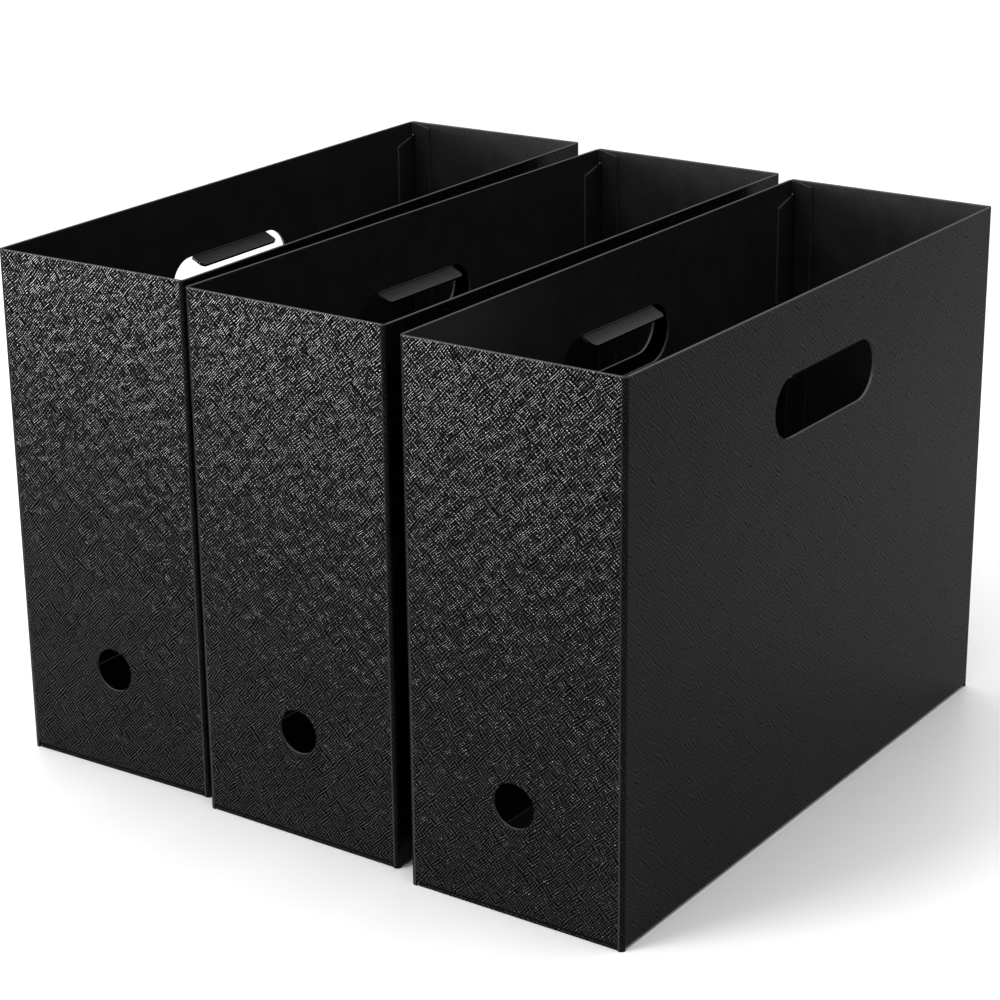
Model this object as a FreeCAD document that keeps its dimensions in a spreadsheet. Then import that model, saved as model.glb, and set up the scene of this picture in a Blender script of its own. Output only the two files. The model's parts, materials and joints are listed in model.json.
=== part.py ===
import FreeCAD, Part
import os
import math
import Sketcher

# Three identical open-topped holders for 12 inch paper, standing side by side. Each holder is one
# polypropylene sheet, die-cut and folded up, and locked at its back left corner by its own tabs.
# The sheet is split at its creases, so every panel, flap, tab and lip is a solid of its own.
# Every holder is drawn in its own frame: X across the width, Y along the depth with the front
# facing -Y, Z up, origin at the centre of the underside. The middle holder's frame is the part's.

SIZES = [
    ("box_width", 104, "outside width of a holder"),
    ("box_depth", 314, "outside depth of a holder"),
    ("box_height", 238, "outside height of a holder"),
    ("sheet_thickness", 1.2, "thickness of the sheet"),
    ("fold_inner_radius", 0.8, "inside radius of every fold"),
    ("lay_gap", 0.15, "gap between two layers that lie on each other"),
    ("relief_notch", 2.5, "width of the notch at the end of a bottom fold"),
    ("floor_inset", 0.6, "how far the floor panel stays behind the front and back faces"),
    ("back_edge_inset", 0.6, "how far the back wall's free edge stays inside the left face"),
    ("finger_hole_diameter", 20, "finger hole in the front wall"),
    ("finger_hole_height", 50, "centre of the finger hole above the underside"),
    ("handle_length", 87, "length of a handle slot, round ends included"),
    ("handle_height", 27, "height of a handle slot"),
    ("handle_drop", 32, "rim to the top edge of a handle slot"),
    ("lip_length", 57, "length of a handle lip"),
    ("lip_reach", 7.6, "crease to the free edge of a handle lip"),
    ("lip_corner_radius", 2.5, "free corners of a handle lip"),
    ("lip_crease_gap", 0.3, "slot edge to the lip's root"),
    ("lip_crease_offset", 0.1, "crease line inside the wall's inner face"),
    ("lip_fold_angle", 65, "degrees from hanging flat in the wall to the lip's resting fold"),
    ("corner_flap_width", 12, "reach of the corner flap along the back wall"),
    ("corner_flap_slope", 2.5, "drop of the flap's top edge over its reach"),
    ("corner_flap_lift", 0.5, "gap from the back bottom fold up to the corner flap"),
    ("lock_tab_reach", 16, "reach of a lock tab along the left wall, from the back face"),
    ("lock_tab_height", 55, "height of a lock tab at its fold"),
    ("lock_tab_chamfer", 4, "narrowing of a lock tab above and below at its free edge"),
    ("lock_tab_clearance", 0.4, "play round a lock tab in its slot"),
    ("upper_tab_drop", 7, "rim to the top of the upper lock tab"),
    ("lower_tab_rise", 25, "top of the floor tuck to the bottom of the lower lock tab"),
    ("floor_tuck_height", 25, "top of the floor tuck above the underside"),
    ("floor_tuck_inset", 6, "how far the floor tuck stays inside the front and back faces"),
    ("floor_tuck_taper", 8, "slant of the floor tuck's ends"),
    ("dust_flap_reach", 60, "reach of a dust flap along the floor, from the outer face"),
    ("dust_flap_taper", 9, "narrowing of a dust flap on each side at its free edge"),
    ("dust_flap_clearance", 1.5, "side of a dust flap to the floor tuck"),
    ("box_gap", 11.35, "gap between neighbouring holders at mid depth"),
    ("left_box_setback", 5.2, "how far the left holder stands behind the middle one"),
    ("right_box_setback", -6.9, "how far the right holder stands behind the middle one"),
    ("left_box_turn_angle", 1.7, "degrees that the left holder is turned, anticlockwise from above"),
    ("right_box_turn_angle", 0.35, "degrees that the right holder is turned, anticlockwise from above"),
]


class Size:
    """A size that knows its number and the spreadsheet formula that drives it."""

    def __init__(self, number, formula):
        self.number = number
        self.formula = formula

    def __add__(self, other):
        return Size(self.number + number_of(other), f"({self.formula} + {formula_of(other)})")

    def __sub__(self, other):
        return Size(self.number - number_of(other), f"({self.formula} - {formula_of(other)})")

    def __mul__(self, factor):
        return Size(self.number * factor, f"({self.formula} * {factor})")

    def __truediv__(self, divisor):
        return Size(self.number / divisor, f"({self.formula} / {divisor})")

    def __neg__(self):
        return self * -1


def number_of(value):
    return value.number if isinstance(value, Size) else value


def formula_of(value):
    return value.formula if isinstance(value, Size) else str(value)


# ---------------------------------------------------------------- the document and its sizes

document = FreeCAD.newDocument("PaperHolders")
sheet = document.addObject("Spreadsheet::Sheet", "Sizes")
for row, (alias, number, meaning) in enumerate(SIZES, start=1):
    sheet.set(f"A{row}", meaning)
    sheet.set(f"B{row}", str(number))
    sheet.setAlias(f"B{row}", alias)
document.recompute()


def size(alias):
    """The sheet's value under this alias, with its formula."""
    return Size(float(sheet.get(alias)), f"Sizes.{alias}")


ZERO = Size(0.0, "0")
SHEET = size("sheet_thickness")
GAP = size("lay_gap")
HEIGHT = size("box_height")
NOTCH = size("relief_notch")
INNER_RADIUS = size("fold_inner_radius")
OUTER_RADIUS = INNER_RADIUS + SHEET

# Faces of a holder. The corner flap lies inside the back wall, and the tabs and the floor tuck
# lie inside the left wall, each one sheet and one gap further in.
RIGHT = size("box_width") / 2
LEFT = -RIGHT
BACK = size("box_depth") / 2
FRONT = -BACK
FLAP_BACK = BACK - SHEET - GAP
TAB_LEFT = LEFT + SHEET + GAP

# The dust flaps lie on the floor panel, so the front and back walls fold above it.
DUST_FLAP_BOTTOM = SHEET + GAP
END_WALL_BOTTOM = DUST_FLAP_BOTTOM + OUTER_RADIUS

SLOT_TOP = HEIGHT - size("handle_drop")
SLOT_BOTTOM = SLOT_TOP - size("handle_height")

UPPER_TAB_TOP = HEIGHT - size("upper_tab_drop")
UPPER_TAB_BOTTOM = UPPER_TAB_TOP - size("lock_tab_height")
LOWER_TAB_BOTTOM = size("floor_tuck_height") + size("lower_tab_rise")
LOWER_TAB_TOP = LOWER_TAB_BOTTOM + size("lock_tab_height")
TAB_SPANS = [(UPPER_TAB_BOTTOM, UPPER_TAB_TOP), (LOWER_TAB_BOTTOM, LOWER_TAB_TOP)]


# ---------------------------------------------------------------- sketches and features


class Arc:
    """The round stretch of an outline between the points before and after it."""

    def __init__(self, x, y, turn):
        self.centre = (x, y)
        self.turn = turn


LEFTWARD = 1
RIGHTWARD = -1


class Round:
    """A full circle, given by its centre and diameter."""

    def __init__(self, x, y, diameter):
        self.centre = (x, y)
        self.diameter = diameter


def vector(point):
    return FreeCAD.Vector(number_of(point[0]), number_of(point[1]), 0)


def arc_geometry(start, arc, end):
    """The arc edge, and which of its ends lies at start and at end."""
    centre = vector(arc.centre)
    first = vector(start) - centre
    last = vector(end) - centre
    if arc.turn == RIGHTWARD:
        first, last = last, first
    circle = Part.Circle(centre, FreeCAD.Vector(0, 0, 1), first.Length)
    edge = Part.ArcOfCircle(circle, math.atan2(first.y, first.x), math.atan2(last.y, last.x))
    return edge, (1, 2) if arc.turn == LEFTWARD else (2, 1)


def dimension(sketch, kind, geometry, position, value):
    """Holds one coordinate of a point to its formula."""
    number = number_of(value)
    index = sketch.addConstraint(Sketcher.Constraint(kind, -1, 1, geometry, position, number))
    sketch.setExpression(f"Constraints[{index}]", formula_of(value))


def draw_outline(sketch, path):
    """Draws a closed outline from its points, with an Arc between two points where it is round."""
    edges = []
    for index, item in enumerate(path):
        if isinstance(item, Arc):
            continue
        follower = path[(index + 1) % len(path)]
        if isinstance(follower, Arc):
            end = path[(index + 2) % len(path)]
            edge, ends = arc_geometry(item, follower, end)
            edges.append((sketch.addGeometry(edge, False), ends, item, follower, end))
        else:
            line = Part.LineSegment(vector(item), vector(follower))
            edges.append((sketch.addGeometry(line, False), (1, 2), item, None, follower))
    for index, (geometry, ends, start, arc, end) in enumerate(edges):
        before, before_ends, _, arc_before, _ = edges[index - 1]
        constraint = Sketcher.Constraint("Coincident", before, before_ends[1], geometry, ends[0])
        sketch.addConstraint(constraint)
        across_x = across_y = True
        if arc_before is not None:
            spoke = vector(start) - vector(arc_before.centre)
            across_x = abs(spoke.y) > abs(spoke.x)
            across_y = not across_x
        if across_x:
            dimension(sketch, "DistanceX", geometry, ends[0], start[0])
        if across_y:
            dimension(sketch, "DistanceY", geometry, ends[0], start[1])
        if arc is not None:
            dimension(sketch, "DistanceX", geometry, 3, arc.centre[0])
            dimension(sketch, "DistanceY", geometry, 3, arc.centre[1])


def draw_circle(sketch, circle):
    """Draws a full circle."""
    centre = vector(circle.centre)
    edge = Part.Circle(centre, FreeCAD.Vector(0, 0, 1), circle.diameter.number / 2)
    geometry = sketch.addGeometry(edge, False)
    dimension(sketch, "DistanceX", geometry, 3, circle.centre[0])
    dimension(sketch, "DistanceY", geometry, 3, circle.centre[1])
    diameter = Sketcher.Constraint("Diameter", geometry, circle.diameter.number)
    index = sketch.addConstraint(diameter)
    sketch.setExpression(f"Constraints[{index}]", circle.diameter.formula)


def rectangle(low_x, low_y, high_x, high_y):
    return [(low_x, low_y), (high_x, low_y), (high_x, high_y), (low_x, high_y)]


def new_sketch(body, plane, outlines, offset=None):
    """A sketch on one of the body's own planes, or at an offset along that plane's normal."""
    sketch = body.newObject("Sketcher::SketchObject", f"{body.Name}_outline")
    origin_plane = [item for item in body.Origin.OriginFeatures if item.Role == plane][0]
    sketch.AttachmentSupport = [(origin_plane, "")]
    sketch.MapMode = "FlatFace"
    if offset is not None:
        sketch.setExpression("AttachmentOffset.Base.z", offset.formula)
    for outline in outlines:
        if isinstance(outline, Round):
            draw_circle(sketch, outline)
        else:
            draw_outline(sketch, outline)
    return sketch


def pad(body, sketch, length, side="One side", reverse=False):
    feature = body.newObject("PartDesign::Pad", f"{body.Name}_pad")
    feature.Profile = sketch
    feature.SideType = side
    feature.Reversed = reverse
    feature.setExpression("Length", length.formula)
    sketch.Visibility = False
    document.recompute()


def cut(body, plane, outlines):
    """Cuts the outlines right through the body, both ways from the plane."""
    before = body.Shape.Volume
    sketch = new_sketch(body, plane, outlines)
    feature = body.newObject("PartDesign::Pocket", f"{body.Name}_cut")
    feature.Profile = sketch
    feature.Type = "ThroughAll"
    feature.SideType = "Symmetric"
    sketch.Visibility = False
    document.recompute()
    if not body.Shape.Volume < before:
        raise RuntimeError(f"{body.Label}: a cut on {plane} removed nothing")


def mirrored_x(outline):
    """The outline reflected from one side of the holder to the other."""
    flipped = []
    for item in reversed(outline):
        if isinstance(item, Arc):
            flipped.append(Arc(-item.centre[0], item.centre[1], item.turn))
        else:
            flipped.append((-item[0], item[1]))
    return flipped


# ---------------------------------------------------------------- walls


def end_wall_relief():
    """The strip that is cut from an end wall's foot between its corners, where its flap folds."""
    return rectangle(LEFT + NOTCH, ZERO, RIGHT - NOTCH, END_WALL_BOTTOM)


def make_front_wall(body):
    """Front wall with both front folds, so that its plan is a shallow channel."""
    fold_y = FRONT + OUTER_RADIUS
    left_fold_x = LEFT + OUTER_RADIUS
    right_fold_x = RIGHT - OUTER_RADIUS
    plan = [
        (LEFT, fold_y),
        Arc(left_fold_x, fold_y, LEFTWARD),
        (left_fold_x, FRONT),
        (right_fold_x, FRONT),
        Arc(right_fold_x, fold_y, LEFTWARD),
        (RIGHT, fold_y),
        (RIGHT - SHEET, fold_y),
        Arc(right_fold_x, fold_y, RIGHTWARD),
        (right_fold_x, FRONT + SHEET),
        (left_fold_x, FRONT + SHEET),
        Arc(left_fold_x, fold_y, RIGHTWARD),
        (LEFT + SHEET, fold_y),
    ]
    pad(body, new_sketch(body, "XY_Plane", [plan]), HEIGHT)
    cut(body, "XZ_Plane", [end_wall_relief()])
    finger_hole = Round(ZERO, size("finger_hole_height"), size("finger_hole_diameter"))
    cut(body, "XZ_Plane", [finger_hole])


def make_back_wall(body):
    """Back wall with the back right fold. Its left edge is free, and stops at the lock tabs' folds."""
    fold_x = RIGHT - OUTER_RADIUS
    fold_y = BACK - OUTER_RADIUS
    free_edge = LEFT + size("back_edge_inset")
    plan = [
        (RIGHT, fold_y),
        Arc(fold_x, fold_y, LEFTWARD),
        (fold_x, BACK),
        (free_edge, BACK),
        (free_edge, BACK - SHEET),
        (fold_x, BACK - SHEET),
        Arc(fold_x, fold_y, RIGHTWARD),
        (RIGHT - SHEET, fold_y),
    ]
    pad(body, new_sketch(body, "XY_Plane", [plan]), HEIGHT)
    play = size("lock_tab_clearance")
    tab_fold_x = TAB_LEFT + OUTER_RADIUS
    tab_gaps = [rectangle(LEFT, low - play, tab_fold_x, high + play) for low, high in TAB_SPANS]
    cut(body, "XZ_Plane", [end_wall_relief()] + tab_gaps)


def handle_slot():
    """A slot with round ends, in the long walls' plane."""
    radius = size("handle_height") / 2
    centre_y = size("handle_length") / 2 - radius
    centre_z = SLOT_TOP - radius
    return [
        (-centre_y, SLOT_BOTTOM),
        (centre_y, SLOT_BOTTOM),
        Arc(centre_y, centre_z, LEFTWARD),
        (centre_y, SLOT_TOP),
        (-centre_y, SLOT_TOP),
        Arc(-centre_y, centre_z, LEFTWARD),
    ]


def make_left_wall(body):
    """Left wall, from the front fold to the corner flap's fold. Its foot is a cut edge."""
    wall = rectangle(FRONT + OUTER_RADIUS, ZERO, FLAP_BACK - OUTER_RADIUS, HEIGHT)
    pad(body, new_sketch(body, "YZ_Plane", [wall], LEFT), SHEET)
    cut(body, "YZ_Plane", [handle_slot()])


def make_right_wall(body):
    """Right wall, between the front and back folds and above the floor panel's fold."""
    wall = rectangle(FRONT + OUTER_RADIUS, OUTER_RADIUS, BACK - OUTER_RADIUS, HEIGHT)
    pad(body, new_sketch(body, "YZ_Plane", [wall], RIGHT), SHEET, reverse=True)
    cut(body, "YZ_Plane", [handle_slot()])


# ---------------------------------------------------------------- the locked corner


def make_corner_flap(body):
    """Flap folded from the left wall onto the back wall's inner face, slotted for the lock tabs."""
    fold_x = LEFT + OUTER_RADIUS
    fold_y = FLAP_BACK - OUTER_RADIUS
    free_edge = LEFT + size("corner_flap_width")
    plan = [
        (fold_x, FLAP_BACK),
        Arc(fold_x, fold_y, LEFTWARD),
        (LEFT, fold_y),
        (LEFT + SHEET, fold_y),
        Arc(fold_x, fold_y, RIGHTWARD),
        (fold_x, FLAP_BACK - SHEET),
        (free_edge, FLAP_BACK - SHEET),
        (free_edge, FLAP_BACK),
    ]
    pad(body, new_sketch(body, "XY_Plane", [plan]), HEIGHT)
    slope = size("corner_flap_slope")
    foot = END_WALL_BOTTOM + size("corner_flap_lift")
    top_slant = [(fold_x, HEIGHT), (free_edge, HEIGHT - slope), (free_edge, HEIGHT)]
    foot_relief = [(fold_x, ZERO), (free_edge, ZERO), (free_edge, foot + slope), (fold_x, foot)]
    play = size("lock_tab_clearance")
    slots = []
    for low, high in TAB_SPANS:
        slots.append(rectangle(TAB_LEFT - GAP, low - play, TAB_LEFT + OUTER_RADIUS, high + play))
    cut(body, "XZ_Plane", [top_slant, foot_relief] + slots)


def make_lock_tab(body, low, high):
    """Tab folded from the back wall, through the corner flap, onto the left wall's inner face."""
    fold_x = TAB_LEFT + OUTER_RADIUS
    fold_y = BACK - OUTER_RADIUS
    free_edge = BACK - size("lock_tab_reach")
    plan = [
        (fold_x, BACK),
        Arc(fold_x, fold_y, LEFTWARD),
        (TAB_LEFT, fold_y),
        (TAB_LEFT, free_edge),
        (TAB_LEFT + SHEET, free_edge),
        (TAB_LEFT + SHEET, fold_y),
        Arc(fold_x, fold_y, RIGHTWARD),
        (fold_x, BACK - SHEET),
    ]
    pad(body, new_sketch(body, "XY_Plane", [plan], low), high - low)
    chamfer = size("lock_tab_chamfer")
    slant_start = FLAP_BACK - SHEET
    top = [(free_edge, high - chamfer), (slant_start, high), (free_edge, high)]
    foot = [(free_edge, low), (slant_start, low), (free_edge, low + chamfer)]
    cut(body, "YZ_Plane", [top, foot])


def make_upper_lock_tab(body):
    make_lock_tab(body, UPPER_TAB_BOTTOM, UPPER_TAB_TOP)


def make_lower_lock_tab(body):
    make_lock_tab(body, LOWER_TAB_BOTTOM, LOWER_TAB_TOP)


# ---------------------------------------------------------------- the floor


def make_floor_panel(body):
    """Floor panel with its fold up to the right wall, notched at the corners for the end walls."""
    fold_x = RIGHT - OUTER_RADIUS
    tuck_fold_x = TAB_LEFT + OUTER_RADIUS
    section = [
        (tuck_fold_x, ZERO),
        (fold_x, ZERO),
        Arc(fold_x, OUTER_RADIUS, LEFTWARD),
        (RIGHT, OUTER_RADIUS),
        (RIGHT - SHEET, OUTER_RADIUS),
        Arc(fold_x, OUTER_RADIUS, RIGHTWARD),
        (fold_x, SHEET),
        (tuck_fold_x, SHEET),
    ]
    length = (BACK - size("floor_inset")) * 2
    pad(body, new_sketch(body, "XZ_Plane", [section]), length, "Symmetric")
    notch_x = RIGHT - NOTCH - GAP
    notch_y = BACK - OUTER_RADIUS - GAP
    back_right = rectangle(notch_x, notch_y, RIGHT, BACK)
    front_right = rectangle(notch_x, FRONT, RIGHT, -notch_y)
    corners = [back_right, front_right, mirrored_x(back_right), mirrored_x(front_right)]
    cut(body, "XY_Plane", corners)


def make_floor_tuck(body):
    """Free edge of the floor, folded up against the left wall's inner face, with slanted ends."""
    fold_x = TAB_LEFT + OUTER_RADIUS
    top = size("floor_tuck_height")
    section = [
        (fold_x, SHEET),
        Arc(fold_x, OUTER_RADIUS, RIGHTWARD),
        (TAB_LEFT + SHEET, OUTER_RADIUS),
        (TAB_LEFT + SHEET, top),
        (TAB_LEFT, top),
        (TAB_LEFT, OUTER_RADIUS),
        Arc(fold_x, OUTER_RADIUS, LEFTWARD),
        (fold_x, ZERO),
    ]
    end_y = BACK - size("floor_tuck_inset")
    pad(body, new_sketch(body, "XZ_Plane", [section]), end_y * 2, "Symmetric")
    slant_y = end_y - size("floor_tuck_taper")
    back_end = [(end_y, END_WALL_BOTTOM), (end_y, top), (slant_y, top)]
    cut(body, "YZ_Plane", [back_end, mirrored_x(back_end)])


def make_dust_flap(body, side):
    """Flap folded from an end wall onto the floor panel. side is 1 for the back, -1 for the front."""
    face = FRONT * -side
    face_inner = (BACK - SHEET) * side
    fold_y = (BACK - OUTER_RADIUS) * side
    free_edge = (BACK - size("dust_flap_reach")) * side
    fold_z = END_WALL_BOTTOM
    top = DUST_FLAP_BOTTOM + SHEET
    inward = RIGHTWARD if side == 1 else LEFTWARD
    section = [
        (face, fold_z),
        Arc(fold_y, fold_z, inward),
        (fold_y, DUST_FLAP_BOTTOM),
        (free_edge, DUST_FLAP_BOTTOM),
        (free_edge, top),
        (fold_y, top),
        Arc(fold_y, fold_z, -inward),
        (face_inner, fold_z),
    ]
    root_half_width = RIGHT - NOTCH - GAP
    pad(body, new_sketch(body, "YZ_Plane", [section]), root_half_width * 2, "Symmetric")
    side_x = RIGHT - SHEET * 2 - GAP - size("dust_flap_clearance")
    taper_x = side_x - size("dust_flap_taper")
    right_side = [(side_x, fold_y), (RIGHT, fold_y), (RIGHT, free_edge), (taper_x, free_edge)]
    cut(body, "XY_Plane", [right_side, mirrored_x(right_side)])


def make_front_dust_flap(body):
    make_dust_flap(body, -1)


def make_back_dust_flap(body):
    make_dust_flap(body, 1)


# ---------------------------------------------------------------- the handle lips


def make_handle_lip(body, side):
    """Lip creased along a slot's top edge and folded inward. side is 1 for the right wall."""
    half_length = size("lip_length") / 2
    reach = size("lip_reach")
    radius = size("lip_corner_radius")
    round_y = half_length - radius
    round_z = radius - reach
    lip = [
        (-half_length, ZERO),
        (-half_length, round_z),
        Arc(-round_y, round_z, LEFTWARD),
        (-round_y, -reach),
        (round_y, -reach),
        Arc(round_y, round_z, LEFTWARD),
        (half_length, round_z),
        (half_length, ZERO),
    ]
    sketch = new_sketch(body, "YZ_Plane", [lip])
    crease_x = (RIGHT - SHEET - size("lip_crease_offset")) * side
    crease_z = SLOT_TOP - size("lip_crease_gap")
    fold = size("lip_fold_angle") * side
    hinge_line = FreeCAD.Rotation(FreeCAD.Vector(1, 0, 0), fold.number)
    sketch.AttachmentOffset = FreeCAD.Placement(FreeCAD.Vector(0, 0, 0), hinge_line)
    sketch.setExpression("AttachmentOffset.Base.y", crease_z.formula)
    sketch.setExpression("AttachmentOffset.Base.z", crease_x.formula)
    sketch.setExpression("AttachmentOffset.Rotation.Angle", f"{fold.formula} * 1 deg")
    pad(body, sketch, SHEET, reverse=side < 0)


def make_left_handle_lip(body):
    make_handle_lip(body, -1)


def make_right_handle_lip(body):
    make_handle_lip(body, 1)


# ---------------------------------------------------------------- the three holders

PIECES = {
    "front_wall": make_front_wall,
    "left_wall": make_left_wall,
    "right_wall": make_right_wall,
    "back_wall": make_back_wall,
    "corner_flap": make_corner_flap,
    "upper_lock_tab": make_upper_lock_tab,
    "lower_lock_tab": make_lower_lock_tab,
    "floor_panel": make_floor_panel,
    "floor_tuck": make_floor_tuck,
    "front_dust_flap": make_front_dust_flap,
    "back_dust_flap": make_back_dust_flap,
    "left_handle_lip": make_left_handle_lip,
    "right_handle_lip": make_right_handle_lip,
}

PITCH = size("box_width") + size("box_gap")
STANDS = {
    "left_box": (-PITCH, size("left_box_setback"), size("left_box_turn_angle")),
    "middle_box": (ZERO, ZERO, ZERO),
    "right_box": (PITCH, size("right_box_setback"), size("right_box_turn_angle")),
}


def stand(body, place):
    """Stands a piece with its holder: shifted across, set back and turned about the upright."""
    across, setback, turn = place
    upright = FreeCAD.Rotation(FreeCAD.Vector(0, 0, 1), turn.number)
    body.Placement = FreeCAD.Placement(FreeCAD.Vector(0, 0, 0), upright)
    body.setExpression("Placement.Base.x", across.formula)
    body.setExpression("Placement.Base.y", setback.formula)
    body.setExpression("Placement.Rotation.Angle", f"{turn.formula} * 1 deg")


def build():
    bodies = []
    for box, place in STANDS.items():
        for piece, make in PIECES.items():
            body = document.addObject("PartDesign::Body", f"{box}_{piece}")
            body.Label = f"{box}_{piece}"
            make(body)
            stand(body, place)
            bodies.append(body)
    document.recompute()
    return bodies


def check(bodies):
    for item in document.Objects:
        if "Invalid" in item.State or "Error" in item.State:
            raise RuntimeError(f"{item.Label} failed: {item.State}")
    for body in bodies:
        shape = body.Shape
        if shape.isNull() or not shape.isValid() or len(shape.Solids) != 1:
            raise RuntimeError(f"{body.Label} is not one valid solid")


def export(bodies):
    os.makedirs("parts", exist_ok=True)
    for body in bodies:
        body.Shape.exportStep(f"parts/{body.Label}.step")
        print(f"{body.Label}: {body.Shape.Volume:.1f} mm3")


pieces = build()
check(pieces)
export(pieces)
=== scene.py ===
import json
import math

import bmesh
import bpy
from mathutils import Matrix, Vector


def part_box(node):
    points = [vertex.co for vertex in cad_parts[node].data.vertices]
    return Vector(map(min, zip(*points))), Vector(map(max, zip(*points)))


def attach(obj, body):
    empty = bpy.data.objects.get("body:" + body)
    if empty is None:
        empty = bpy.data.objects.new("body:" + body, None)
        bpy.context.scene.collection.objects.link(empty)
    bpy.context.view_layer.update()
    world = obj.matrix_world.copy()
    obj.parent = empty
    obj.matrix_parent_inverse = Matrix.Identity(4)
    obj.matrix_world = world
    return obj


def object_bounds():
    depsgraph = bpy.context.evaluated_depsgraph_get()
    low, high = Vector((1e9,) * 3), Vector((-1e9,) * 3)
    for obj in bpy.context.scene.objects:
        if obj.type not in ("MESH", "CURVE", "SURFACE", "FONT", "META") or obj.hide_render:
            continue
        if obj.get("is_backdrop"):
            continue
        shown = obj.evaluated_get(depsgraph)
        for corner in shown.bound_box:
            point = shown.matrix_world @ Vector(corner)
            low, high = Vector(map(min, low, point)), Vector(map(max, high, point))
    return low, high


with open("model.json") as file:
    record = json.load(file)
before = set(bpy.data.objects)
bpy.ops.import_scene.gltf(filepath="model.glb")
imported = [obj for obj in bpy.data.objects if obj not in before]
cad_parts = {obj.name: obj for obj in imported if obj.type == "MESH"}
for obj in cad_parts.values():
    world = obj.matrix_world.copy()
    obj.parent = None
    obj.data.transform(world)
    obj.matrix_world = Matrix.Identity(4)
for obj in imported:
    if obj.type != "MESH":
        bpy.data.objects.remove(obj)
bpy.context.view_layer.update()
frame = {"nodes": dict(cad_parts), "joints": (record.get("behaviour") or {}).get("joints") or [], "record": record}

MM = 0.001

# The three holders, and the pieces of one holder.
HOLDERS = ("left_box", "middle_box", "right_box")
WALLS = ("front_wall", "left_wall", "right_wall", "back_wall")
FLAPS = (
    "corner_flap",
    "upper_lock_tab",
    "lower_lock_tab",
    "floor_panel",
    "floor_tuck",
    "front_dust_flap",
    "back_dust_flap",
)
LIPS = ("left_handle_lip", "right_handle_lip")

# The camera, measured from the middle holder's centre.
CAMERA_PLACE = Vector((665.7, -948.5, 526.3)) * MM
CAMERA_YAW = math.radians(-35.24)
CAMERA_PITCH = math.radians(-19.86)
CAMERA_ROLL = math.radians(-0.61)
CAMERA_LENS = 95.7
CAMERA_SENSOR = 36.0

# The sheet's outside: a hatch of short diagonal ridges in two directions.
RISING_PITCH = 1.03 * MM
RISING_HEIGHT = 1.1
LONG_STROKE = 5.0 * MM
FALLING_PITCH = 1.45 * MM
FALLING_HEIGHT = 0.95
SHORT_STROKE = 2.6 * MM
RIDGE_DEPTH = 0.175 * MM
# The ridges wander by so many pitches over this length along them, and so many times as fast across.
STROKE_SWAY = 9.0 * MM
SWAY_TURNS = 1.5
SWAY_ACROSS = 2.0
# A ridge breaks into strokes where a noise is low, down to a share of its height.
BREAK_LOW = 0.26
BREAK_HIGH = 0.46
BREAK_HEIGHT = 0.45
# Steps from ridge to ridge, and from one direction to the other, so that no two break alike.
RIDGE_STEP_ALONG = 7.31
RIDGE_STEP_ACROSS = 3.7
FALLING_STEP = 31.0
# Patches where one direction rules: the noise levels between which each direction gives way to
# the other, and the share of its height that stays.
PATCH_SIZE = 2.4 * MM
PATCH_DETAIL = 1.5
RISING_PATCH = (0.40, 0.50)
RISING_LEFT = 0.3
FALLING_PATCH = (0.44, 0.54)
FALLING_LEFT = 0.25
# The hatch is shallower on the long sides, and on the bends, which begin and end so far in.
SIDE_RELIEF = 0.14
FOLD_RELIEF = 0.25
FOLD_START = 2.6 * MM
FOLD_END = 1.6 * MM

# The sheet's skin, its slow waves, and the clouds in its tone.
SKIN_SIZE = 0.5 * MM
SKIN_DEPTH = 0.004 * MM
WAVE_SIZE = 38 * MM
WAVE_DEPTH = 0.10 * MM
CLOUD_SIZE = 16 * MM
CLOUD_DEPTH = 0.8
CLOUD_BASE = 0.6

# How deep one sheet and three sheets reach, and how far from a fold their cut edges start.
EDGE_LAYERS = ((1.4 * MM, 2.2 * MM), (4.2 * MM, 5.0 * MM))
FLOOR_LAYERS = 4.5 * MM

# Tones, as shares of white, and what painted shade, painted highlights, bare cut edges and specks add to them.
OUTSIDE_TONE = 0.007
# Painted shade in the hatch: its valleys are darkened and its crests lightened by this share of white.
PAINTED_HATCH_SHADE = 0.011
INSIDE_TONE = 0.022
# Bare cut edges are a little lighter, and mostly get a painted highlight standing for their glint.
CUT_EDGE_HIGHLIGHT_TONE = 0.055
# A painted highlight on the line beside each bend.
FOLD_HIGHLIGHT_TONE = 0.030
# A painted highlight on the rim's arrises.
RIM_HIGHLIGHT_TONE = 0.060
SPECK_TONE = 0.030
SPECK_SIZE = 0.9 * MM
SPECK_LOW = 0.76
SPECK_HIGH = 0.82
# A painted highlight lies on the line beside each bend, weaker towards the rim.
FOLD_RADIUS = 2.0 * MM
FOLD_HIGHLIGHT_WIDTH = 0.35 * MM
FOLD_HIGHLIGHT_AT_RIM = 0.35
# The rim's painted highlight grows from this depth below the rim to this one.
RIM_START = 0.6 * MM
RIM_END = 0.1 * MM

# How rough the sheet is, and how strongly it mirrors.
OUTSIDE_GLOSS = 0.12
INSIDE_GLOSS = 0.30
CLOUD_GLOSS = 0.06
WORN_GLOSS = 0.18
SHEET_IOR = 1.49
SHEEN = 0.08
SIDE_SHEEN = 0.12
INSIDE_SHEEN = 0.5
LIP_SHEEN = 0.95
SHEEN_CONTRAST = 1.35
# A lip's sheen grows from its crease to its free edge, between these distances in from the wall.
LIP_ROOT = 2.0 * MM
LIP_END = 8.0 * MM

CREASE_RADIUS = 0.45 * MM
CREASE_INSET = 0.3 * MM
CREASE_SIDES = 16
# A crease bead from its lower end to its upper one: how many radii in from the end, and the
# thickness there as a share of the full one, negative on the lower half.
CREASE_PROFILE = ((0.0, -0.45), (1.0, -0.8), (3.0, -1.0), (3.0, 1.0), (1.0, 0.8), (0.0, 0.45))

# A surface counts as square to an axis, nearly so, or as lying along it.
SQUARE = 0.9
MOSTLY = 0.7
ALONG = 0.3
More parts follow.
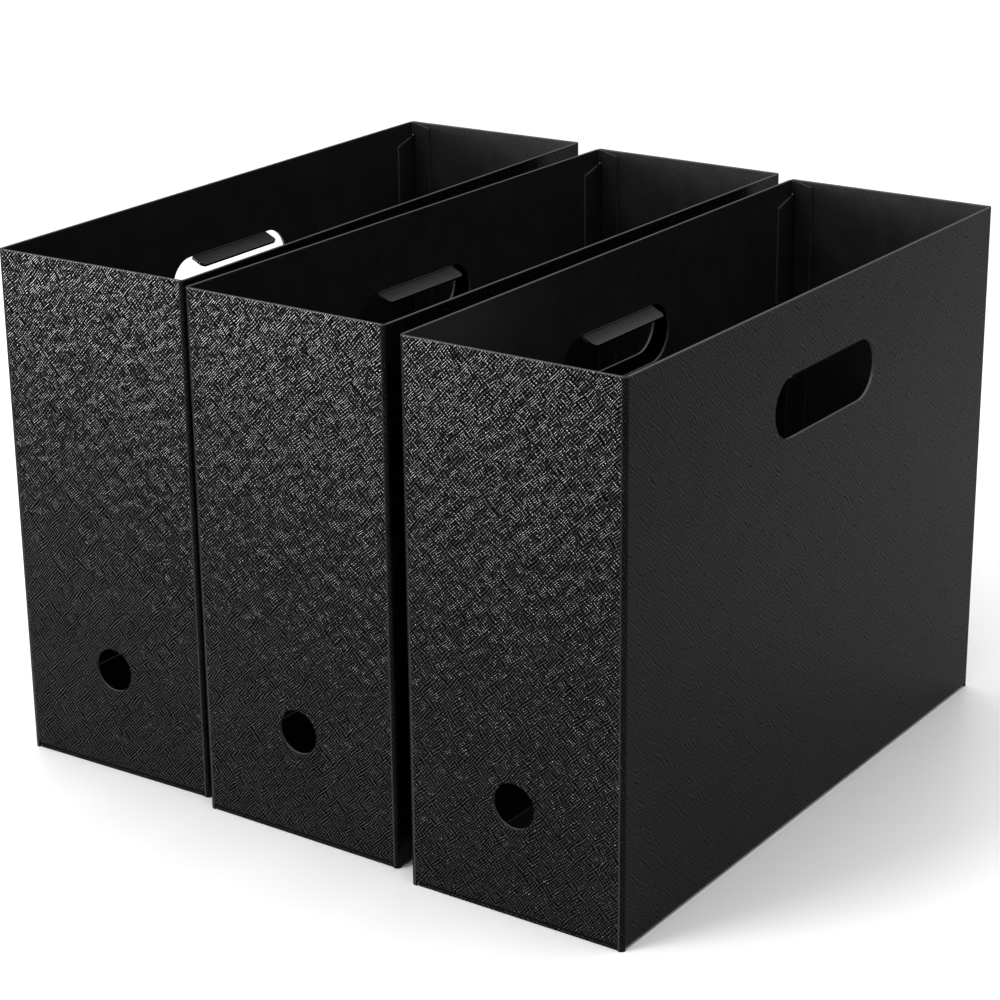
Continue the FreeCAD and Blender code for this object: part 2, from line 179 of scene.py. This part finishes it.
# A face that looks down counts as outside, as if it lay this far out.
DOWN_REACH = 0.1

# Each holder starts elsewhere in the strokes' noises, so that no two have the same strokes.
FIRST_OFFSET = 3.0
OFFSET_STEP = 17.0

# The studio, in Blender's light units: the sky's light grows between two heights of a direction.
HORIZON_LIGHT = 0.12
HORIZON_TOP = 0.1
ZENITH_LIGHT = 1.75
ZENITH_BOTTOM = 0.9
BACKDROP_LIGHT = 1.1
LOW_LAMP_SIZE = (0.9, 0.28)
TOP_LAMP_SIZE = (0.7, 0.7)
FLOOR_REACH = 30.0
FLOOR_TONE = (0.92, 0.92, 0.92, 1.0)
FLOOR_GLOSS = 0.35
FLOOR_DROP = 0.2 * MM
VIEW_GAMMA = 0.75

# The walls that face each other across the gaps, and the walls at the back.
GAP_WALLS = (
    "left_box_right_wall",
    "middle_box_left_wall",
    "middle_box_right_wall",
    "right_box_left_wall",
)
BACK_WALLS = ("left_box_back_wall", "middle_box_back_wall", "right_box_back_wall")


class Graph:
    """Builds a material's nodes in few words."""

    def __init__(self, material):
        self.tree = material.node_tree

    def node(self, kind, **settings):
        made = self.tree.nodes.new(kind)
        for name, value in settings.items():
            setattr(made, name, value)
        return made

    def feed(self, socket, value):
        if isinstance(value, bpy.types.NodeSocket):
            self.tree.links.new(value, socket)
        else:
            socket.default_value = value

    def math(self, operation, *values, clamp=False):
        made = self.node("ShaderNodeMath", operation=operation, use_clamp=clamp)
        for socket, value in zip(made.inputs, values):
            self.feed(socket, value)
        return made.outputs[0]

    def vector(self, operation, *values):
        made = self.node("ShaderNodeVectorMath", operation=operation)
        for socket, value in zip(made.inputs, values):
            self.feed(socket, value)
        return made.outputs[0]

    def turned(self, vector, angle):
        made = self.node("ShaderNodeVectorRotate", rotation_type="Z_AXIS")
        self.feed(made.inputs["Vector"], vector)
        self.feed(made.inputs["Angle"], angle)
        return made.outputs[0]

    def split(self, vector):
        made = self.node("ShaderNodeSeparateXYZ")
        self.feed(made.inputs[0], vector)
        return made.outputs

    def join(self, x, y, z):
        made = self.node("ShaderNodeCombineXYZ")
        for socket, value in zip(made.inputs, (x, y, z)):
            self.feed(socket, value)
        return made.outputs[0]

    def ramp(self, value, low, high, out_low=0.0, out_high=1.0):
        """value from low..high to out_low..out_high, smooth and held beyond both ends."""
        made = self.node("ShaderNodeMapRange", interpolation_type="SMOOTHSTEP")
        for name, number in (
            ("Value", value),
            ("From Min", low),
            ("From Max", high),
            ("To Min", out_low),
            ("To Max", out_high),
        ):
            self.feed(made.inputs[name], number)
        return made.outputs[0]

    def mix(self, share, first, second):
        made = self.node("ShaderNodeMix", data_type="FLOAT")
        self.feed(made.inputs[0], share)
        self.feed(made.inputs[2], first)
        self.feed(made.inputs[3], second)
        return made.outputs[0]

    def noise(self, vector, scale, detail):
        made = self.node("ShaderNodeTexNoise", noise_dimensions="2D")
        self.feed(made.inputs["Vector"], vector)
        self.feed(made.inputs["Scale"], scale)
        self.feed(made.inputs["Detail"], detail)
        return made.outputs["Fac"]

    def grey(self, value):
        return self.join(value, value, value)


def facing_angle(node):
    """How far a front wall is turned about the vertical, from the faces that look forward."""
    total = Vector((0.0, 0.0, 0.0))
    for face in frame["nodes"][node].data.polygons:
        if face.normal.y < -0.9:
            total += face.normal * face.area
    return math.atan2(total.x, -total.y)


def holder_frame(holder):
    """The centre of a holder's underside, and its turn."""
    mount = next(m for m in frame["record"]["mounts"] if m["name"] == holder + "_base")
    return Vector(mount["pos_m"]), facing_angle(holder + "_front_wall")


low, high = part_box("middle_box_front_wall")
RIM_HEIGHT = high.z
HALF_WIDTH = (high.x - low.x) / 2
FRONT_PLANE = low.y
HALF_DEPTH = -low.y


def strokes(graph, along, across, pitch, length, offset):
    """Parallel ridges of one direction, each broken into strokes: -0.5 in the valleys, 0.5 on the crests."""
    sway = graph.noise(
        graph.join(
            graph.math("MULTIPLY_ADD", along, 1 / STROKE_SWAY, offset),
            graph.math("MULTIPLY_ADD", across, SWAY_ACROSS / STROKE_SWAY, offset),
            0.0,
        ),
        1.0,
        detail=0.0,
    )
    turns = graph.math("MULTIPLY_ADD", across, 1 / pitch, graph.math("MULTIPLY", sway, SWAY_TURNS))
    crest = graph.math("MULTIPLY_ADD", graph.math("PINGPONG", turns, 0.5), 2.0, -0.5)
    number = graph.math("FLOOR", turns)
    broken = graph.noise(
        graph.join(
            graph.math("MULTIPLY_ADD", along, 1 / length, graph.math("MULTIPLY", number, RIDGE_STEP_ALONG)),
            graph.math("MULTIPLY_ADD", number, RIDGE_STEP_ACROSS, offset),
            0.0,
        ),
        1.0,
        detail=0.0,
    )
    return graph.math("MULTIPLY", crest, graph.ramp(broken, BREAK_LOW, BREAK_HIGH, BREAK_HEIGHT, 1.0))


def hatch(graph, u, v, offset):
    """Long rising strokes, crossed by patches of short falling ones."""
    rising = graph.math("MULTIPLY", graph.math("ADD", u, v), math.sqrt(0.5))
    falling = graph.math("MULTIPLY", graph.math("SUBTRACT", v, u), math.sqrt(0.5))
    first = strokes(graph, rising, falling, RISING_PITCH, LONG_STROKE, offset)
    second = strokes(graph, falling, rising, FALLING_PITCH, SHORT_STROKE, offset + FALLING_STEP)
    patch = graph.noise(graph.join(u, v, 0.0), 1 / PATCH_SIZE, detail=PATCH_DETAIL)
    share = graph.ramp(patch, *RISING_PATCH, RISING_LEFT * RISING_HEIGHT, RISING_HEIGHT)
    other = graph.ramp(patch, *FALLING_PATCH, FALLING_HEIGHT, FALLING_LEFT * FALLING_HEIGHT)
    return graph.math("MULTIPLY_ADD", first, share, graph.math("MULTIPLY", second, other))


def band(graph, value, centre, half_width):
    """1 where value lies within half_width of centre, fading to 0 at the band's sides."""
    apart = graph.math("ABSOLUTE", graph.math("SUBTRACT", value, centre))
    return graph.ramp(apart, half_width * 0.5, half_width * 1.5, 1.0, 0.0)


def cut_edge(graph, normal, across, half_across, along, half_along):
    """1 on the bare cut edges of two walls square to normal, and of the flaps that lie on them."""
    sideways = graph.math("LESS_THAN", graph.math("ABSOLUTE", normal), ALONG)
    found = 0.0
    for depth, clear_of_fold in EDGE_LAYERS:
        in_layer = graph.math("GREATER_THAN", across, half_across - depth)
        between_folds = graph.math("LESS_THAN", along, half_along - clear_of_fold)
        found = graph.math("MAXIMUM", found, graph.math("MULTIPLY", in_layer, between_folds))
    return graph.math("MULTIPLY", sideways, found)


class Sheet:
    """Where a point of a holder's sheet lies, in the holder's own frame, as shader values."""

    def __init__(self, graph, centre, turn):
        source = graph.node("ShaderNodeTexCoord")
        place = graph.vector("SUBTRACT", source.outputs["Object"], tuple(centre))
        x, y, self.z = graph.split(graph.turned(place, -turn))
        nx, ny, nz = graph.split(graph.turned(source.outputs["Normal"], -turn))
        self.far_x = graph.math("ABSOLUTE", x)
        self.far_y = graph.math("ABSOLUTE", y)
        self.endways = graph.math("ABSOLUTE", ny)
        self.upward = graph.math("ABSOLUTE", nz)
        self.end_wall = graph.math("GREATER_THAN", self.endways, MOSTLY)

        # Walls are unrolled round the holder; level faces are taken from above.
        unrolled = graph.math(
            "MULTIPLY_ADD", graph.math("SIGN", x), graph.math("SUBTRACT", y, FRONT_PLANE), x
        )
        level = graph.math("GREATER_THAN", self.upward, MOSTLY)
        self.u = graph.mix(level, unrolled, x)
        self.v = graph.mix(level, self.z, y)
        self.point = graph.join(self.u, self.v, 0.0)

        cut = graph.math(
            "MAXIMUM",
            cut_edge(graph, nx, self.far_x, HALF_WIDTH, self.far_y, HALF_DEPTH),
            cut_edge(graph, ny, self.far_y, HALF_DEPTH, self.far_x, HALF_WIDTH),
        )
        self.cut = graph.math("MULTIPLY", cut, graph.math("GREATER_THAN", self.z, FLOOR_LAYERS))

        # A face is on the outside if it looks away from the holder's middle, or down.
        outward = graph.math(
            "ADD",
            graph.math("MULTIPLY", nx, x),
            graph.math("MULTIPLY_ADD", ny, y, graph.math("MULTIPLY", nz, -DOWN_REACH)),
        )
        outward = graph.math("GREATER_THAN", outward, 0.0)
        self.outside = graph.math("MULTIPLY", outward, graph.math("SUBTRACT", 1.0, self.cut))


def embossing(graph, sheet, offset):
    """The hatch's height on the outside, shallower on the bends and on the long sides."""
    fold = graph.math(
        "MULTIPLY",
        graph.ramp(sheet.far_x, HALF_WIDTH - FOLD_START, HALF_WIDTH - FOLD_END),
        graph.ramp(sheet.far_y, HALF_DEPTH - FOLD_START, HALF_DEPTH - FOLD_END),
    )
    height = hatch(graph, sheet.u, sheet.v, offset)
    height = graph.math("MULTIPLY", height, graph.mix(fold, 1.0, FOLD_RELIEF))
    height = graph.math("MULTIPLY", height, graph.mix(sheet.end_wall, SIDE_RELIEF, 1.0))
    return graph.math("MULTIPLY", height, sheet.outside)


def relief_normal(graph, sheet, embossed):
    """The surface's direction under the hatch, the fine skin and the slow waves."""
    waviness = graph.noise(sheet.point, 1 / WAVE_SIZE, detail=1.0)
    skin = graph.noise(sheet.point, 1 / SKIN_SIZE, detail=2.0)
    relief = graph.math("MULTIPLY", embossed, RIDGE_DEPTH)
    relief = graph.math("MULTIPLY_ADD", skin, SKIN_DEPTH, relief)
    relief = graph.math("MULTIPLY_ADD", waviness, WAVE_DEPTH, relief)
    bump = graph.node("ShaderNodeBump")
    graph.feed(bump.inputs["Height"], relief)
    graph.feed(bump.inputs["Distance"], 1.0)
    return bump.outputs["Normal"]


def painted_fold_highlight(graph, sheet):
    """A painted highlight on the line beside each bend of an end wall, stronger low down."""
    facing = graph.math("GREATER_THAN", sheet.endways, SQUARE)
    line = band(graph, sheet.far_x, HALF_WIDTH - FOLD_RADIUS, FOLD_HIGHLIGHT_WIDTH)
    line = graph.math("MULTIPLY", line, facing)
    return graph.math("MULTIPLY", line, graph.ramp(sheet.z, 0.0, RIM_HEIGHT, 1.0, FOLD_HIGHLIGHT_AT_RIM))


def painted_rim_highlight(graph, sheet):
    """The band along the rim's arrises, which gets a painted highlight and a rougher finish."""
    upright = graph.math("LESS_THAN", sheet.upward, ALONG)
    near_rim = graph.ramp(sheet.z, RIM_HEIGHT - RIM_START, RIM_HEIGHT - RIM_END)
    return graph.math("MULTIPLY", near_rim, upright)


def sheet_tone(graph, sheet, embossed, cloud, rim):
    """The sheet's colour, a grey: darker outside, with painted shade in the hatch's valleys and painted highlights
    on its crests, cut edges, rim arrises and beside the bends, and light specks.
    """
    specks = graph.ramp(graph.noise(sheet.point, 1 / SPECK_SIZE, detail=0.0), SPECK_LOW, SPECK_HIGH)
    tone = graph.mix(sheet.outside, INSIDE_TONE, OUTSIDE_TONE)
    tone = graph.math("MULTIPLY", tone, graph.math("MULTIPLY_ADD", cloud, CLOUD_DEPTH, CLOUD_BASE))
    # Painted shade: the hatch's valleys are made darker and its crests lighter.
    tone = graph.math("MULTIPLY_ADD", embossed, PAINTED_HATCH_SHADE, tone, clamp=True)
    # Painted highlight on the line beside each bend.
    tone = graph.math("MULTIPLY_ADD", painted_fold_highlight(graph, sheet), FOLD_HIGHLIGHT_TONE, tone)
    # Painted highlight on the rim's arrises.
    tone = graph.math("MULTIPLY_ADD", rim, RIM_HIGHLIGHT_TONE, tone)
    tone = graph.math("MULTIPLY_ADD", specks, SPECK_TONE, tone)
    # Cut edges: slightly lighter bare sheet, mostly a painted highlight.
    tone = graph.math("MULTIPLY_ADD", sheet.cut, CUT_EDGE_HIGHLIGHT_TONE, tone, clamp=True)
    return graph.grey(tone)


def sheet_gloss(graph, sheet, cloud, rim):
    gloss = graph.mix(sheet.outside, INSIDE_GLOSS, OUTSIDE_GLOSS)
    gloss = graph.math("MULTIPLY_ADD", cloud, CLOUD_GLOSS, gloss)
    return graph.math("MULTIPLY_ADD", graph.math("MAXIMUM", sheet.cut, rim), WORN_GLOSS, gloss)


def sheet_sheen(graph, sheet, embossed, end_sheen):
    """Outside, the valleys mirror less than the crests; inside, a lip mirrors more to its end."""
    sheen = graph.mix(sheet.end_wall, SIDE_SHEEN, SHEEN)
    cavity = graph.math("MULTIPLY_ADD", embossed, SHEEN_CONTRAST, sheen, clamp=True)
    reach = graph.ramp(
        sheet.far_x, HALF_WIDTH - LIP_END, HALF_WIDTH - LIP_ROOT, end_sheen, INSIDE_SHEEN
    )
    return graph.mix(sheet.outside, reach, cavity)


def sheet_material(name, centre, turn, offset, end_sheen):
    """Black polypropylene sheet: hatched outside, smooth satin inside, bare cut edges."""
    material = bpy.data.materials.new(name)
    material.use_nodes = True
    graph = Graph(material)
    shader = graph.tree.nodes["Principled BSDF"]
    sheet = Sheet(graph, centre, turn)
    embossed = embossing(graph, sheet, offset)
    cloud = graph.noise(sheet.point, 1 / CLOUD_SIZE, detail=3.0)
    rim = painted_rim_highlight(graph, sheet)
    graph.feed(shader.inputs["Base Color"], sheet_tone(graph, sheet, embossed, cloud, rim))
    graph.feed(shader.inputs["Roughness"], sheet_gloss(graph, sheet, cloud, rim))
    graph.feed(shader.inputs["Specular IOR Level"], sheet_sheen(graph, sheet, embossed, end_sheen))
    graph.feed(shader.inputs["Normal"], relief_normal(graph, sheet, embossed))
    shader.inputs["IOR"].default_value = SHEET_IOR
    return material


def bead(name, middle, direction, length, radius):
    """A rounded bead along direction that thins towards both ends, with its place in its vertices."""
    form = bmesh.new()
    rings = []
    for along, share in CREASE_PROFILE:
        station = math.copysign(length / 2 - along * radius, share)
        ring = [
            form.verts.new((
                math.cos(math.tau * side / CREASE_SIDES) * abs(share) * radius,
                math.sin(math.tau * side / CREASE_SIDES) * abs(share) * radius,
                station,
            ))
            for side in range(CREASE_SIDES)
        ]
        rings.append(ring)
    for ring, following in zip(rings, rings[1:]):
        for side in range(CREASE_SIDES):
            after = (side + 1) % CREASE_SIDES
            form.faces.new((ring[side], ring[after], following[after], following[side]))
    form.faces.new(rings[0][::-1])
    form.faces.new(rings[-1])
    turn = direction.to_track_quat("Z", "X").to_matrix().to_4x4()
    bmesh.ops.transform(form, matrix=Matrix.Translation(middle) @ turn, verts=form.verts)
    mesh = bpy.data.meshes.new(name)
    form.to_mesh(mesh)
    form.free()
    mesh.polygons.foreach_set("use_smooth", [len(face.vertices) == 4 for face in mesh.polygons])
    made = bpy.data.objects.new(name, mesh)
    bpy.context.scene.collection.objects.link(made)
    return made


def make_crease(holder, lip, material):
    """The thin web of sheet that joins a handle lip to its wall, round the hinge's axis."""
    joint = next(j for j in frame["joints"] if j["child"] == f"{holder}_{lip}")
    low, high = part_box(f"{holder}_{lip}")
    run = high.y - low.y - 2 * CREASE_INSET
    axis = Vector(joint["axis"]).normalized()
    crease = bead(f"{holder}_{lip}_crease", Vector(joint["pos_m"]), axis, run, CREASE_RADIUS)
    crease.data.materials.append(material)
    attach(crease, holder)


def dress_holder(holder, offset):
    """Gives a holder's parts their sheet, and its lips their creases."""
    centre, turn = holder_frame(holder)
    sheet = sheet_material(holder + "_sheet", centre, turn, offset, INSIDE_SHEEN)
    handled = sheet_material(holder + "_handled_sheet", centre, turn, offset, LIP_SHEEN)
    for pieces, material in ((WALLS + FLAPS, sheet), (LIPS, handled)):
        for piece in pieces:
            part = frame["nodes"][f"{holder}_{piece}"]
            part.data.materials.clear()
            part.data.materials.append(material)
    for lip in LIPS:
        make_crease(holder, lip, sheet)


def make_camera():
    """The camera of the main view, from its place and three turns."""
    forward = Vector((
        math.sin(CAMERA_YAW) * math.cos(CAMERA_PITCH),
        math.cos(CAMERA_YAW) * math.cos(CAMERA_PITCH),
        math.sin(CAMERA_PITCH),
    ))
    right = Vector((math.cos(CAMERA_YAW), -math.sin(CAMERA_YAW), 0.0))
    up = right.cross(forward)
    rolled_right = right * math.cos(CAMERA_ROLL) + up * math.sin(CAMERA_ROLL)
    rolled_up = up * math.cos(CAMERA_ROLL) - right * math.sin(CAMERA_ROLL)
    turn = Matrix((rolled_right, rolled_up, -forward)).transposed()
    lens = bpy.data.cameras.new("camera")
    lens.lens = CAMERA_LENS
    lens.sensor_width = CAMERA_SENSOR
    lens.clip_start = 0.05
    camera = bpy.data.objects.new("camera", lens)
    camera.matrix_world = Matrix.Translation(CAMERA_PLACE) @ turn.to_4x4()
    bpy.context.scene.collection.objects.link(camera)
    bpy.context.scene.camera = camera


def softbox(name, place, aim, size, power):
    """A rectangular lamp that no camera sees."""
    light = bpy.data.lights.new(name, "AREA")
    light.shape = "RECTANGLE"
    light.size, light.size_y = size
    light.energy = power
    lamp = bpy.data.objects.new(name, light)
    lamp.location = place
    lamp.visible_camera = False
    direction = Vector(aim) - Vector(place)
    lamp.rotation_euler = direction.to_track_quat("-Z", "Y").to_euler()
    bpy.context.scene.collection.objects.link(lamp)
    return lamp


def make_world():
    """A studio that is bright overhead and dim near the horizon, against a white backdrop."""
    world = bpy.data.worlds.new("studio")
    world.use_nodes = True
    graph = Graph(world)
    direction = graph.node("ShaderNodeTexCoord").outputs["Generated"]
    sky = graph.ramp(graph.split(direction)[2], HORIZON_TOP, ZENITH_BOTTOM, HORIZON_LIGHT, ZENITH_LIGHT)
    seen = graph.node("ShaderNodeLightPath").outputs["Is Camera Ray"]
    background = graph.tree.nodes["Background"]
    graph.feed(background.inputs["Strength"], graph.mix(seen, sky, BACKDROP_LIGHT))
    background.inputs["Color"].default_value = (1.0, 1.0, 1.0, 1.0)
    bpy.context.scene.world = world


def flag_to(lamp, names):
    """Keeps a low lamp's light on the named parts and off the floor, as flags beside it would."""
    lit = bpy.data.collections.new(lamp.name + "_lit")
    for name in names:
        lit.objects.link(frame["nodes"][name])
    lamp.light_linking.receiver_collection = lit


def make_lights():
    """Low lamps draw the embossing: two from the front, and others for the back and the left side."""
    open_walls = [name for name in frame["nodes"] if name not in GAP_WALLS]
    for name, place, aim, power, lit in (
        ("front_key", (-1.15, -0.62, 0.32), (0.0, -0.15, 0.15), 17.0, open_walls),
        ("front_strip", (-0.32, -1.50, 0.32), (-0.05, -0.15, 0.15), 22.0, open_walls),
        ("back_key", (1.15, 0.62, 0.32), (0.0, 0.15, 0.15), 17.0, BACK_WALLS),
        ("back_strip", (0.32, 1.50, 0.32), (0.05, 0.15, 0.15), 22.0, BACK_WALLS),
        ("left_strip", (-1.50, 0.30, 0.32), (-0.16, 0.0, 0.15), 22.0, ["left_box_left_wall"]),
    ):
        flag_to(softbox(name, place, aim, LOW_LAMP_SIZE, power), lit)
    softbox("top_light", (-0.67, -1.40, 1.60), (0.0, 0.0, 0.0), TOP_LAMP_SIZE, 19.0)
    bpy.context.scene.view_settings.view_transform = "Standard"
    bpy.context.scene.view_settings.gamma = VIEW_GAMMA


def make_floor():
    """A pale floor, a hair below the holders."""
    half = FLOOR_REACH
    mesh = bpy.data.meshes.new("floor")
    corners = [(-half, -half, 0.0), (half, -half, 0.0), (half, half, 0.0), (-half, half, 0.0)]
    mesh.from_pydata(corners, [], [(0, 1, 2, 3)])
    floor = bpy.data.objects.new("floor", mesh)
    bpy.context.scene.collection.objects.link(floor)
    floor.location.z = -FLOOR_DROP
    material = bpy.data.materials.new("floor")
    material.use_nodes = True
    shader = material.node_tree.nodes["Principled BSDF"]
    shader.inputs["Base Color"].default_value = FLOOR_TONE
    shader.inputs["Roughness"].default_value = FLOOR_GLOSS
    mesh.materials.append(material)
    floor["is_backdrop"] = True


for number, holder in enumerate(HOLDERS):
    dress_holder(holder, OFFSET_STEP * number + FIRST_OFFSET)
make_camera()
make_lights()
make_world()
make_floor()

low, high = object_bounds()
